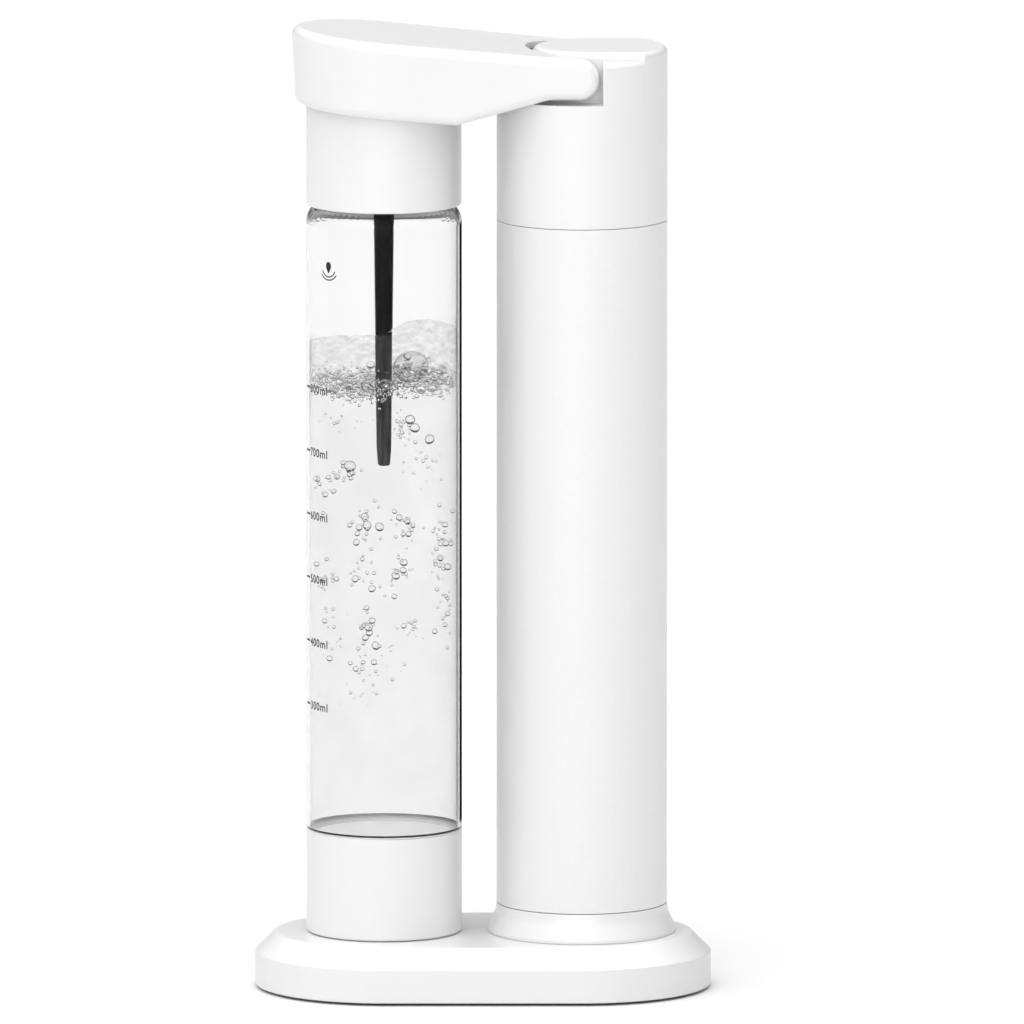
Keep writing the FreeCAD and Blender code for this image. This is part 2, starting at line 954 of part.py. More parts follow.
def feed_line():
    node(rod("feed_tube", "1.9", "axis_half + 8.5", "10.5", "block_top", "pivot_z - 4"), "feed_tube")
    ring = cross_rod("manifold_ring", "6.5", "pivot_x", "pivot_z", "7.2", "12.6")
    arm = box(
        "manifold_arm",
        ("pivot_x", "pivot_x + 13.5"),
        ("7.2", "12.6"),
        ("pivot_z - 4", "pivot_z + 4"),
    )
    bore = cross_rod("manifold_bore", "pin_r", "pivot_x", "pivot_z", "5", "14")
    node(cut("pin_manifold", fuse("manifold_solid", [ring, arm]), [bore]), "pin_manifold")


# ---- hinge ---------------------------------------------------------------


def hinge():
    plate = box(
        "bracket_plate",
        ("axis_half + 11", "axis_half + 28"),
        ("-cheek_high", "cheek_high"),
        ("ledge", "ledge + 2.5"),
    )
    parts = [plate]
    for side, low, high in (
        ("near", "-cheek_high", "-cheek_low"),
        ("far", "cheek_low", "cheek_high"),
    ):
        parts.append(
            box(
                f"cheek_bar_{side}",
                ("pivot_x", "axis_half + 28"),
                (low, high),
                ("pivot_z - 5", "pivot_z + 5"),
            )
        )
        parts.append(
            box(
                f"cheek_leg_{side}",
                ("axis_half + 11", "axis_half + 28"),
                (low, high),
                ("ledge", "pivot_z + 5"),
            )
        )
        parts.append(cross_rod(f"cheek_eye_{side}", "5", "pivot_x", "pivot_z", low, high))
    tools = [cross_rod("bracket_bore", "pin_r", "pivot_x", "pivot_z", "-30", "30")]
    for i, (x, y) in enumerate(p for p in post_places() if p[0] == "22"):
        tools.append(rod(f"bracket_hole_{i}", "1.55", f"axis_half + {x}", y, "ledge - 1", "ledge + 4"))
    node(cut("hinge_bracket", fuse("bracket_solid", parts), tools), "hinge_bracket")
    pin = cross_rod("pin_solid", "pin_r", "pivot_x", "pivot_z", "-pin_half", "pin_half")
    gas_way = cross_rod("pin_way", "1", "pivot_x", "pivot_z", "-pin_half - 1", "pin_half + 1")
    node(cut("hinge_pin", pin, [gas_way]), "hinge_pin")


def bushes(label, low, high):
    rings = []
    for side, ends in (("near", (f"-({high})", f"-({low})")), ("far", (low, high))):
        outer = cross_rod(f"{label}_{side}_outer", "bush_r", "pivot_x", "pivot_z", *ends)
        inner = cross_rod(f"{label}_{side}_inner", "pin_r + run", "pivot_x", "pivot_z", *ends)
        rings.append(cut(f"{label}_{side}", outer, [inner]))
    group(label, rings)


# ---- arm and carbonating head ---------------------------------------------


def head_screw_places():
    yield "-axis_half - 26", "0"
    for side in ("-", ""):
        yield "-axis_half + 13", f"{side}22.5"


def arm_bracket():
    plate = box(
        "arm_plate",
        ("-axis_half", "pivot_x - 7.5"),
        ("-lug_outer", "lug_outer"),
        ("arm_low", "arm_high"),
    )
    disc = rod("arm_disc", "arm_disc_r", BOTTLE, "0", "arm_low", "arm_high")
    parts = [plate, disc]
    for side, low, high in (("near", "-lug_outer", "-lug_inner"), ("far", "lug_inner", "lug_outer")):
        parts.append(cross_rod(f"arm_eye_{side}", "7.5", "pivot_x", "pivot_z", low, high))
        parts.append(
            box(f"arm_leg_{side}", ("pivot_x - 7.5", "pivot_x"), (low, high), ("arm_low", "pivot_z"))
        )
    tools = [
        cross_rod("arm_bore", "bush_r", "pivot_x", "pivot_z", "-20", "20"),
        rod("arm_push_bore", "push_r + run", "push_x", "0", "arm_low - 1", "arm_high + 1"),
        rod("arm_wand_hole", "9.4", BOTTLE, "0", "arm_low - 1", "arm_high + 1"),
        rod("arm_fitting_hole", "5", "-axis_half + 8", "-tube_y", "arm_low - 1", "arm_high + 1"),
        rod("arm_relief_hole", "4.2", BOTTLE, "15", "arm_low - 1", "arm_high + 1"),
        box(
            "arm_tube_slot",
            ("-axis_half + 10", "pivot_x - 4.9"),
            ("-tube_y - 2.2", "-tube_y + 2.2"),
            ("arm_low - 1", "arm_high + 1"),
        ),
    ]
    for i, (x, y) in enumerate(head_screw_places()):
        tools.append(rod(f"arm_screw_hole_{i}", "1.55", x, y, "arm_low - 1", "arm_high + 1"))
    node(cut("arm_bracket", fuse("arm_solid", parts), tools), "arm_bracket")
    pads = [
        rod(f"arm_pad_{i}", "2.5", "axis_half - 27", y, "ledge + gap", "arm_low")
        for i, y in enumerate(("-13", "13"))
    ]
    group("arm_pads", pads)


def collar_shell():
    body = turned(
        "collar_shell_body",
        BOTTLE,
        [
            ("collar_r - collar_wall", "collar_low"),
            ("collar_r", "collar_low"),
            ("collar_r", "arm_low"),
            ("22", "arm_low"),
            ("22", "arm_low - collar_wall"),
            ("collar_r - collar_wall", "arm_low - collar_wall"),
        ],
        [("0.8", ("collar_r", "collar_low")), ("1.5", ("collar_r", "arm_low"))],
    )
    tools = [
        rod(f"collar_hole_{i}", "1.55", x, y, "arm_low - 4", "arm_low + 1")
        for i, (x, y) in enumerate(head_screw_places())
    ]
    node(cut("collar_shell", body, tools), "collar_shell")


def carbonating_head():
    body = turned(
        "head_block",
        BOTTLE,
        [
            ("wand_stem_r", "head_face"),
            ("head_inner", "head_face"),
            ("head_inner", "head_low"),
            ("head_r", "head_low"),
            ("head_r", "arm_low - collar_wall"),
            ("21.8", "arm_low - collar_wall"),
            ("21.8", "arm_low"),
            ("wand_stem_r", "arm_low"),
        ],
    )
    lugs = around(
        "head_lug",
        lambda name: box(
            name,
            ("-axis_half + 25", "-axis_half + head_inner + 1.5"),
            ("-8", "8"),
            ("head_low", "head_low + 5.5"),
        ),
        3,
        60,
        BOTTLE,
    )
    tools = [
        rod(f"head_screw_bore_{i}", "1.5", x, y, "head_screw_low", "arm_low + 1")
        for i, (x, y) in enumerate(head_screw_places())
    ]
    node(cut("carbonating_head", fuse("head_with_lugs", [body, *lugs]), tools), "carbonating_head")
    seal = turned(
        "bottle_seal",
        BOTTLE,
        [
            ("12", "mouth_z + gap"),
            ("neck_r - 0.1", "mouth_z + gap"),
            ("neck_r - 0.1", "head_face"),
            ("12", "head_face"),
        ],
        [("0.6", ("neck_r - 0.1", "mouth_z + gap"))],
    )
    node(seal, "bottle_seal")
    screws = [
        turned(
            f"head_screw_{i}",
            x,
            [
                ("0", "head_screw_low"),
                ("1.5", "head_screw_low"),
                ("1.5", "arm_high"),
                ("2.9", "arm_high"),
                ("2.9", "arm_high + 2"),
                ("0", "arm_high + 2"),
            ],
            [("0.6", ("2.9", "arm_high + 2"))],
            axis_y=y,
        )
        for i, (x, y) in enumerate(head_screw_places())
    ]
    group("head_screws", screws)


def wand():
    body = turned(
        "nozzle_wand",
        BOTTLE,
        [
            ("0.6", "wand_tip"),
            ("wand_tip_r", "wand_tip"),
            ("3.25", "wand_tip + 7.6"),
            ("4.55", "collar_low"),
            ("4.9", "head_face - 2.6"),
            ("9.5", "head_face - 2.4"),
            ("9.5", "head_face"),
            ("wand_stem_r", "head_face"),
            ("wand_stem_r", "arm_high"),
            ("0.6", "arm_high"),
        ],
        [("0.9", ("wand_tip_r", "wand_tip"))],
    )
    node(body, "nozzle_wand")
    nut = doc.addObject("Part::Prism", "wand_nut_hex")
    nut.Polygon = 6
    bind(nut, "Circumradius", "8.6")
    bind(nut, "Height", "4.6")
    place(nut, BOTTLE, "0", "arm_low")
    bore = rod("wand_nut_bore", "wand_stem_r", BOTTLE, "0", "arm_low - 1", "arm_high + 1")
    node(cut("wand_nut", nut, [bore]), "wand_nut")


def gas_line():
    fitting = turned(
        "gas_fitting",
        "-axis_half + 8",
        [("0", "arm_low"), ("4.8", "arm_low"), ("4.8", "arm_high + 2.4"), ("0", "arm_high + 2.4")],
        [("1.2", ("4.8", "arm_high + 2.4"))],
        axis_y="-tube_y",
    )
    node(fitting, "gas_fitting")
    tube = doc.addObject("Part::Cylinder", "gas_tube")
    bind(tube, "Radius", "tube_r")
    bind(tube, "Height", "pivot_x - 5.3 + axis_half - 12.9")
    tube.Placement.Rotation = FreeCAD.Rotation(FreeCAD.Vector(0, 1, 0), 90)
    place(tube, "-axis_half + 12.9", "-tube_y", "tube_z")
    node(tube, "gas_tube")
    ring = cross_rod("swivel_ring", "6.5", "pivot_x", "pivot_z", "-12.6", "-5.6")
    neck = box(
        "swivel_neck",
        ("pivot_x - 5.3", "pivot_x"),
        ("-12.6", "-5.6"),
        ("tube_z - 2", "pivot_z"),
    )
    bore = cross_rod("swivel_bore", "pin_r + run", "pivot_x", "pivot_z", "-14", "-4")
    node(cut("swivel_block", fuse("swivel_solid", [ring, neck]), [bore]), "swivel_block")
    relief = turned(
        "relief_valve",
        BOTTLE,
        [
            ("0", "arm_low"),
            ("4", "arm_low"),
            ("4", "arm_high + 2"),
            ("3", "arm_high + 2"),
            ("3", "arm_high + 5.4"),
            ("0", "arm_high + 5.4"),
        ],
        [("0.7", ("3", "arm_high + 5.4"))],
        axis_y="15",
    )
    node(relief, "relief_valve")


def push_pin():
    body = turned(
        "push_pin",
        "push_x",
        [
            ("0", "ledge + 0.5"),
            ("push_r", "ledge + 0.5"),
            ("push_r", "push_top - 2"),
            ("4.2", "push_top - 2"),
            ("4.2", "push_top"),
            ("0", "push_top"),
        ],
        [("0.5", ("push_r", "ledge + 0.5"), ("4.2", "push_top"))],
    )
    node(body, "push_pin")
    wire_r = 0.35
    coil_r = size("push_r") + 0.9
    low = size("arm_high") + wire_r
    high = size("push_top - 2") - wire_r
    helix = Part.makeHelix((high - low) / 4, high - low, coil_r)
    start = FreeCAD.Vector(coil_r, 0, 0)
    circle = Part.Wire(Part.makeCircle(wire_r, start, FreeCAD.Vector(0, 1, 0)))
    spring = doc.addObject("Part::Feature", "push_spring")
    spring.Shape = Part.Wire(helix).makePipeShell([circle], True, True)
    place(spring, "push_x", "0", "0")
    spring.Placement.Base.z = low
    node(spring, "push_spring")


# ---- bottle ----------------------------------------------------------------


def bottle():
    inner = "bottle_r - bottle_wall"
    lower = "bottle_r - cup_wall - 0.1"
    body = turned(
        "bottle_body",
        BOTTLE,
        [
            ("0", "bottle_floor - 2.4"),
            (lower, "bottle_floor - 2.4"),
            (lower, "cup_top + 0.2"),
            ("bottle_r", "cup_top + 0.2"),
            ("bottle_r", "shoulder_z"),
            ("neck_r", "neck_z"),
            ("neck_r", "mouth_z"),
            ("neck_r - 2.5", "mouth_z"),
            ("neck_r - 2.5", "neck_z - 1"),
            (inner, "shoulder_z - 1.6"),
            (inner, "cup_top + 1.5"),
            (f"{lower} - 1.5", "cup_top - 0.3"),
            (f"{lower} - 1.5", "bottle_floor"),
            ("0", "bottle_floor"),
        ],
        [
            ("8.5", ("bottle_r", "shoulder_z")),
            ("7.2", (inner, "shoulder_z - 1.6")),
            ("4", (lower, "bottle_floor - 2.4")),
            ("3", (f"{lower} - 1.5", "bottle_floor")),
            ("3", ("neck_r", "neck_z")),
        ],
    )
    node(body, "bottle_body")
    cup = turned(
        "bottle_cup",
        BOTTLE,
        [
            ("0", "bottle_low + 3"),
            ("25", "bottle_low + 3"),
            ("27", "bottle_low"),
            ("bottle_r", "bottle_low"),
            ("bottle_r", "cup_top"),
            ("bottle_r - cup_wall", "cup_top"),
            ("bottle_r - cup_wall", "bottle_low + 5.5"),
            ("0", "bottle_low + 5.5"),
        ],
        [("1.2", ("bottle_r", "bottle_low")), ("0.5", ("bottle_r", "cup_top"))],
    )
    node(cup, "bottle_cup")
    ring = turned(
        "neck_ring_body",
        BOTTLE,
        [("neck_r", "ring_low"), ("24.3", "ring_low"), ("24.3", "ring_high"), ("neck_r", "ring_high")],
    )
    lugs = around(
        "neck_lug",
        lambda name: box(
            name,
            ("-axis_half + 23.5", "-axis_half + 27"),
            ("-7", "7"),
            ("head_low + 6.2", "head_low + 10"),
        ),
        3,
        60,
        BOTTLE,
    )
    node(fuse("neck_ring", [ring, *lugs]), "neck_ring")


# ---- lever -----------------------------------------------------------------


def lever_plan(name, inset):
    """The lever's plan, lofted from its lower section to its wider upper one."""
    levels = (("plan_low", "nose_low_r"), ("plan_high", "nose_top_r"))
    body = new_body(name)
    sections = []
    for height, radius in levels:
        sketch = new_sketch(body, lift=height)
        nose = size(f"{radius} - {inset}")
        ear = size(f"ear_half - {inset}")
        span = size("axis_half + pivot_x")
        lean = FreeCAD.Vector(1, 0, 0).getAngle(
            FreeCAD.Vector((span**2 - (nose - ear) ** 2) ** 0.5, nose - ear, 0)
        )
        turn = FreeCAD.Units.Quantity(f"{lean} rad").getValueAs("deg").Value
        arc = draw_arc(sketch, "-axis_half", "0", f"{radius} - {inset}", 90 - turn, 270 + turn)
        ends = [
            sketch.getPoint(arc, 1),
            FreeCAD.Vector(size("pivot_x + 12"), ear, 0),
            FreeCAD.Vector(size("pivot_x + 12"), -ear, 0),
            sketch.getPoint(arc, 2),
        ]
        far, back, near = (
            sketch.addGeometry(Part.LineSegment(a, b), False)
            for a, b in zip(ends[:-1], ends[1:])
        )
        sketch.addConstraint(Sketcher.Constraint("Coincident", arc, 1, far, 1))
        sketch.addConstraint(Sketcher.Constraint("Coincident", far, 2, back, 1))
        sketch.addConstraint(Sketcher.Constraint("Coincident", back, 2, near, 1))
        sketch.addConstraint(Sketcher.Constraint("Coincident", near, 2, arc, 2))
        fix_point(sketch, back, 1, "pivot_x + 12", f"ear_half - {inset}")
        fix_point(sketch, back, 2, "pivot_x + 12", f"-(ear_half - {inset})")
        sketch.addConstraint(Sketcher.Constraint("Tangent", arc, far))
        sketch.addConstraint(Sketcher.Constraint("Tangent", arc, near))
        sections.append(sketch)
    loft = body.newObject("PartDesign::AdditiveLoft", name + "_loft")
    loft.Profile = sections[0]
    loft.Sections = sections[1:]
    loft.Ruled = True
    doc.recompute()
    return body


def deck_height(x, drop="0"):
    """The deck's height at x: a plane that slopes down from nose to ears."""
    return f"{TILTED_DECK} - ({drop}) + (pivot_x - ({x})) * tan(deck_slope * 1 deg)"


def sloped_band(start, end, high, low):
    """Corners of a band that follows the underside of the deck, from high to low below it."""
    return [
        (start, deck_height(start, f"lever_wall + {high}")),
        (start, deck_height(start, f"lever_wall + {low}")),
        (end, deck_height(end, f"lever_wall + {low}")),
        (end, deck_height(end, f"lever_wall + {high}")),
    ]


def lever_side(name, corners, half="50"):
    """A slab with the given outline in side view."""
    body = new_body(name)
    sketch = new_sketch(body, "XZ")
    draw_polygon(sketch, corners)
    pad(body, sketch, f"2 * {half}", midplane=True)
    return body


def lever_shell():
    nose_x = "-axis_half - 50"
    end_x = "pivot_x + ear_r"
    low = "pivot_z - ear_r"
    side = lever_side(
        "lever_outline",
        [
            (nose_x, deck_height(nose_x)),
            (nose_x, "nose_low"),
            ("belly_x", "belly_low"),
            ("30", f"{low} + 0.6"),
            (end_x, low),
            (end_x, deck_height(end_x)),
        ],
    )
    end = size(end_x)
    dress(
        side,
        "Fillet",
        "ear_r - 0.15",
        [(end, 0, size(low)), (end, 0, size(deck_height(end_x)))],
    )
    dress(side, "Fillet", "25", [(30, 0, size(f"{low} + 0.6"))])
    dress(side, "Fillet", "7", [(size("belly_x"), 0, size("belly_low"))])
    outer = doc.addObject("Part::Common", "lever_outer")
    outer.Base = lever_plan("lever_plan", "0")
    outer.Tool = side
    doc.recompute()
    ear = size("ear_half")
    nose = size("-axis_half - nose_top_r")
    mid = 0.0
    rounded = doc.addObject("Part::Fillet", "lever_rounded")
    rounded.Base = outer
    top = [
        (nose, 0, size(deck_height("-axis_half - nose_top_r"))),
        (mid, -39, size(deck_height("0"))),
        (mid, 39, size(deck_height("0"))),
        (end, ear, size("pivot_z")),
        (end, -ear, size("pivot_z")),
    ]
    names = edges_at(outer.Shape, top)
    rounded.Edges = [(int(name[4:]), 4.0, 4.0) for name in names]
    doc.recompute()
    hollow_side = lever_side(
        "lever_hollow_outline",
        [
            (nose_x, deck_height(nose_x, "lever_wall + 0.2")),
            (nose_x, "under_lever"),
            ("31", "under_lever"),
            ("31", deck_height("31", "lever_wall + 0.2")),
        ],
    )
    hollow = doc.addObject("Part::Common", "lever_hollow")
    hollow.Base = lever_plan("lever_hollow_plan", "lever_wall")
    hollow.Tool = hollow_side
    around_cap = rod("lever_cap_round", "lever_cut_r", "lever_cut_x", "0", "under_lever", "over_lever")
    between_ears = box(
        "lever_ear_gap", ("lever_cut_x", "100"), ("-lever_cut_r", "lever_cut_r"), ("under_lever", "over_lever")
    )
    sockets = cross_pair("lever_bush_bore", "bush_r", "pivot_x", "pivot_z", "20", "33.4")
    shell = cut("lever_shell", rounded, [hollow, around_cap, between_ears, *sockets])
    node(shell, "lever_shell")


def lever_frame():
    half = "22"
    plate = lever_side("lever_frame_plate", sloped_band("-62", "16", "0.2", "2.4"), half)
    ribs = cut(
        "lever_ribs",
        lever_side("lever_rib_block", sloped_band("-58", "12", "2.2", "5"), half),
        [lever_side("lever_rib_space", sloped_band("-59", "13", "1", "7"), "20")],
    )
    striker = rod("lever_striker", "4", "push_x", "0", "push_top + 0.3", "push_top + 2.7")
    node(fuse("lever_frame", [plate, ribs, striker]), "lever_frame")


base_plate()
bottom_cover()
base_fittings()
cylinder_door()
column_foot()
column_sleeve()
column_head()
head_cap()
column_rods()
gas_cylinder()
valve_block()
valve_motion()
feed_line()
hinge()
bushes("arm_bushes", "lug_inner", "lug_outer")
bushes("lever_bushes", "lever_cut_r + 0.2", "33.4")
arm_bracket()
collar_shell()
carbonating_head()
wand()
gas_line()
push_pin()
bottle()
lever_shell()
lever_frame()
doc.recompute()

for item in doc.Objects:
    if "Invalid" in item.State or "Error" in item.State:
        raise RuntimeError(f"{item.Name} failed: {item.State}")
for label, item in nodes.items():
    if item.Shape.isNull() or not item.Shape.isValid():
        raise RuntimeError(f"{label} has no valid shape")

os.makedirs("parts", exist_ok=True)
for label, item in nodes.items():
    item.Shape.exportStep(f"parts/{label}.step")
print(len(nodes), "sub-parts written")
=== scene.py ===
"""The looks of a soda carbonator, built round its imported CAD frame. Metres, bottle on the left, column on the right."""

import math
import random

import bpy
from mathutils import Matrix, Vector


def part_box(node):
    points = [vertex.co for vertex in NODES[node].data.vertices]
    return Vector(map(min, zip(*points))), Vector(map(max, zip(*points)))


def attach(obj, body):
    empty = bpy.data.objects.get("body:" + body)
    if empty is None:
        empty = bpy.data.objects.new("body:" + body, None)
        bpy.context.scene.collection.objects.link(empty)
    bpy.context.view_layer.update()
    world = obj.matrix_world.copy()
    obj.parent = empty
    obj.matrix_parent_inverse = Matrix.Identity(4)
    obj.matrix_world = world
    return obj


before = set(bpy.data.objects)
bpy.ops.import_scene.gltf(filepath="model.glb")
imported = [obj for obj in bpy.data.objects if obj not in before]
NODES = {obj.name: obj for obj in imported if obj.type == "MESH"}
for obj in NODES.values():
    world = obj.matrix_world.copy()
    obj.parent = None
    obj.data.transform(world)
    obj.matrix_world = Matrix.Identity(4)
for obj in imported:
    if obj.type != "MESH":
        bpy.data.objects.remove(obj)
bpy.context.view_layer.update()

MM = 0.001

# Heights in metres.
LINING_TOP = (0.0717, 0.0720)       # a hair above the bottle cup, where the bottle's lining ends
BLACK_RIM_FOOT = (0.073, 0.076)     # where the bottle's painted black right edge, a painted shade, begins
BLACK_RIM_HEAD = (0.349, 0.345)     # and where it ends
SHOULDER = (0.3435, 0.3455)         # where the bottle's wall turns in to its neck
LEVEL = 0.2710                      # the 800 ml mark, and calm water
PER_MARK = 0.02845                  # height of 100 ml
SPLASHED = (0.268, 0.276)           # where calm water turns to splashes
POCKET_RUFFLE = (0.262, 0.284)      # where the gas pocket's wall does
SHEEN_LINE = (0.2925, 0.2935)              # where the wand comes out of the water, and where its painted sheen ends
SIGN_HEIGHT = 0.3265
WAND_TIP = 0.232

# Sockets of a colour Mix node.
MIX_FACTOR, MIX_A, MIX_B, MIX_OUT = 0, 6, 7, 2


# ---------------------------------------------------------------- materials
def add(tree, kind, **inputs):
    """One shader node, with its inputs set by name."""
    node = tree.nodes.new(kind)
    for name, value in inputs.items():
        node.inputs[name.replace("_", " ")].default_value = value
    return node


def noise(tree, scale, detail=4.0, stretch=(1, 1, 1)):
    """A noise pattern in the piece's own metres. Returns its value socket."""
    place = tree.nodes.new("ShaderNodeTexCoord")
    mapping = add(tree, "ShaderNodeMapping", Scale=stretch)
    pattern = add(tree, "ShaderNodeTexNoise", Scale=scale, Detail=detail, Roughness=0.6)
    tree.links.new(place.outputs["Object"], mapping.inputs["Vector"])
    tree.links.new(mapping.outputs["Vector"], pattern.inputs["Vector"])
    return pattern.outputs["Fac"]


def ranged(tree, socket, low, high, start=0.3, end=0.7):
    """The socket's start to end spread over low to high."""
    node = add(tree, "ShaderNodeMapRange")
    node.inputs["From Min"].default_value = start
    node.inputs["From Max"].default_value = end
    node.inputs["To Min"].default_value = low
    node.inputs["To Max"].default_value = high
    tree.links.new(socket, node.inputs["Value"])
    return node.outputs["Result"]


def mixed(tree, factor, a, b):
    """Colour a where factor is 0, and b where it is 1."""
    node = tree.nodes.new("ShaderNodeMix")
    node.data_type = "RGBA"
    node.inputs[MIX_A].default_value = (*a, 1)
    node.inputs[MIX_B].default_value = (*b, 1)
    tree.links.new(factor, node.inputs[MIX_FACTOR])
    return node.outputs[MIX_OUT]


def blended(tree, factor, a, b, kind="MIX"):
    """Colour socket a where factor is 0, and b where it is 1, or the two combined if there is no factor."""
    node = tree.nodes.new("ShaderNodeMix")
    node.data_type = "RGBA"
    node.blend_type = kind
    node.inputs[MIX_FACTOR].default_value = 1.0
    if factor is not None:
        tree.links.new(factor, node.inputs[MIX_FACTOR])
    tree.links.new(a, node.inputs[MIX_A])
    tree.links.new(b, node.inputs[MIX_B])
    return node.outputs[MIX_OUT]


def times(tree, a, b):
    """The product of two value sockets."""
    node = tree.nodes.new("ShaderNodeMath")
    node.operation = "MULTIPLY"
    tree.links.new(a, node.inputs[0])
    tree.links.new(b, node.inputs[1])
    return node.outputs[0]


def position(tree):
    """The X, Y and Z of a point, in the piece's own metres."""
    place = tree.nodes.new("ShaderNodeTexCoord")
    parts = tree.nodes.new("ShaderNodeSeparateXYZ")
    tree.links.new(place.outputs["Object"], parts.inputs[0])
    return parts.outputs


def grained(tree, shader, fine, strength, depth, low, high):
    """Gives a shader the relief of the fine pattern, depth mm deep, and a roughness of low to high."""
    tree.links.new(ranged(tree, fine, low, high), shader.inputs["Roughness"])
    bump = add(tree, "ShaderNodeBump", Strength=strength, Distance=depth * MM)
    tree.links.new(fine, bump.inputs["Height"])
    tree.links.new(bump.outputs["Normal"], shader.inputs["Normal"])


def material(name, colour, other, rough, grain=900.0, depth=0.02, patch=60.0, stretch=(1, 1, 1), **fixed):
    """A surface of two close colours in soft patches, with uneven gloss and a fine grain in relief."""
    made = bpy.data.materials.new(name)
    made.use_nodes = True
    tree = made.node_tree
    shader = tree.nodes["Principled BSDF"]
    for key, value in fixed.items():
        shader.inputs[key.replace("_", " ")].default_value = value
    patches = ranged(tree, noise(tree, patch, 5.0, stretch), 0.0, 1.0)
    tree.links.new(mixed(tree, patches, colour, other), shader.inputs["Base Color"])
    fine = noise(tree, grain, 3.0, stretch)
    grained(tree, shader, fine, 0.35, depth, rough * 0.88, rough * 1.12)
    return made


def plain(tree, grey):
    """A socket of one grey."""
    node = tree.nodes.new("ShaderNodeRGB")
    node.outputs[0].default_value = (grey, grey, grey, 1)
    return node.outputs[0]


def edge_shade_tone(tree, edge, stops):
    """The painted shade grey for each edge-on share, from a list of the two."""
    ramp = tree.nodes.new("ShaderNodeValToRGB")
    points = ramp.color_ramp.elements
    for at, grey in stops[1:-1]:
        points.new(at).color = (grey, grey, grey, 1)
    for end, (at, grey) in ((0, stops[0]), (-1, stops[-1])):
        points[end].position = at
        points[end].color = (grey, grey, grey, 1)
    tree.links.new(edge, ramp.inputs["Fac"])
    return ramp.outputs["Color"]


def painted_shade_right_edge(tree, shader, edge, where, left, right, across):
    """The bottle's tone: left's changes to right's across an X range, and the right edge turns black and opaque, a
    painted shade in place of the studio's dark side seen edge on.
    The wall inside the cup is a pale opaque lining, and the shoulder stays light."""
    share = ranged(tree, where["X"], 0.0, 1.0, *across)
    for span in (BLACK_RIM_FOOT, BLACK_RIM_HEAD):
        share = times(tree, share, ranged(tree, where["Z"], 0.0, 1.0, *span))
    tone = blended(tree, share, left, right)
    # Painted shade: where the right edge is seen edge on it is painted black and lets no light through.
    painted_black_edge = times(tree, share, ranged(tree, edge, 0.0, 1.0, 0.73, 0.79))
    above_cup = ranged(tree, where["Z"], 0.0, 1.0, *LINING_TOP)
    seen_through = times(tree, ranged(tree, painted_black_edge, 1.0, 0.0, 0.0, 1.0), above_cup)
    tree.links.new(seen_through, shader.inputs["Transmission Weight"])
    shader.inputs["Specular IOR Level"].default_value = 0.0
    tone = blended(tree, None, tone, mixed(tree, painted_black_edge, (1.0,) * 3, (0.02,) * 3), "MULTIPLY")
    tone = blended(tree, ranged(tree, where["Z"], 0.0, 1.0, *SHOULDER), tone, plain(tree, 0.96))
    return blended(tree, above_cup, plain(tree, 0.93), tone)


def splashed(tree, where, tone, span):
    """The tone with faint clouds below the span of heights, and grey ripples above it."""
    ripples = ranged(tree, noise(tree, 230.0, 6.0, (1, 1, 2.2)), 0.0, 1.0, 0.36, 0.62)
    clouds = ranged(tree, noise(tree, 45.0, 3.0), 0.0, 1.0)
    rippled = mixed(tree, ripples, (0.70,) * 3, (0.98,) * 3)
    calm = mixed(tree, clouds, (0.87,) * 3, (0.95,) * 3)
    water_tone = blended(tree, ranged(tree, where["Z"], 0.0, 1.0, *span), calm, rippled)
    return blended(tree, None, tone, water_tone, "MULTIPLY")


def edge_shaded_clear(name, rims, rough, ior, grain=400.0, depth=0.004, gleam=1.0, across=None, ruffled=None):
    """A clear material whose colour is painted darker where it is seen edge on: painted shade in place of the dark
    outline that refraction gives.

    Each of its one or two rims is a list of edge-on share and grey, and across gives the X from which the second
    takes over from the first, and where it has. Ruffled gives the heights between which calm water turns to
    splashes."""
    made = bpy.data.materials.new(name)
    made.use_nodes = True
    tree = made.node_tree
    shader = tree.nodes["Principled BSDF"]
    shader.inputs["Transmission Weight"].default_value = 1.0
    shader.inputs["IOR"].default_value = ior
    shader.inputs["Specular Tint"].default_value = (gleam, gleam, gleam, 1)
    edge = add(tree, "ShaderNodeLayerWeight", Blend=0.5).outputs["Facing"]
    tones = [edge_shade_tone(tree, edge, stops) for stops in rims]
    where = position(tree)
    tone = tones[0]
    if across:
        tone = painted_shade_right_edge(tree, shader, edge, where, *tones, across)
    if ruffled:
        tone = splashed(tree, where, tone, ruffled)
    tree.links.new(tone, shader.inputs["Base Color"])
    grained(tree, shader, noise(tree, grain, 2.0), 0.2, depth, rough * 0.5, rough * 1.5)
    return made


WHITE = material(
    "satin_white",
    (0.76, 0.76, 0.76),
    (0.742, 0.742, 0.745),
    0.33,
    grain=1400.0,
    depth=0.03,
    patch=25.0,
    Specular_IOR_Level=1.0,
)
WHITE_SLEEVE = material(
    "satin_sleeve",
    (0.76, 0.76, 0.76),
    (0.74, 0.74, 0.743),
    0.33,
    grain=1100.0,
    depth=0.05,
    patch=600.0,
    Specular_IOR_Level=1.0,
)
GREY = material("moulded_grey", (0.30, 0.30, 0.31), (0.26, 0.26, 0.27), 0.5, grain=1200.0, depth=0.04, patch=40.0)
BLACK = material(
    "gloss_black",
    (0.001, 0.001, 0.0011),
    (0.002, 0.002, 0.0021),
    0.22,
    grain=700.0,
    depth=0.006,
    patch=90.0,
    Specular_IOR_Level=0.04,
)
RUBBER = material(
    "soft_rubber",
    (0.035, 0.035, 0.036),
    (0.05, 0.05, 0.052),
    0.72,
    grain=1600.0,
    depth=0.06,
    patch=120.0,
)
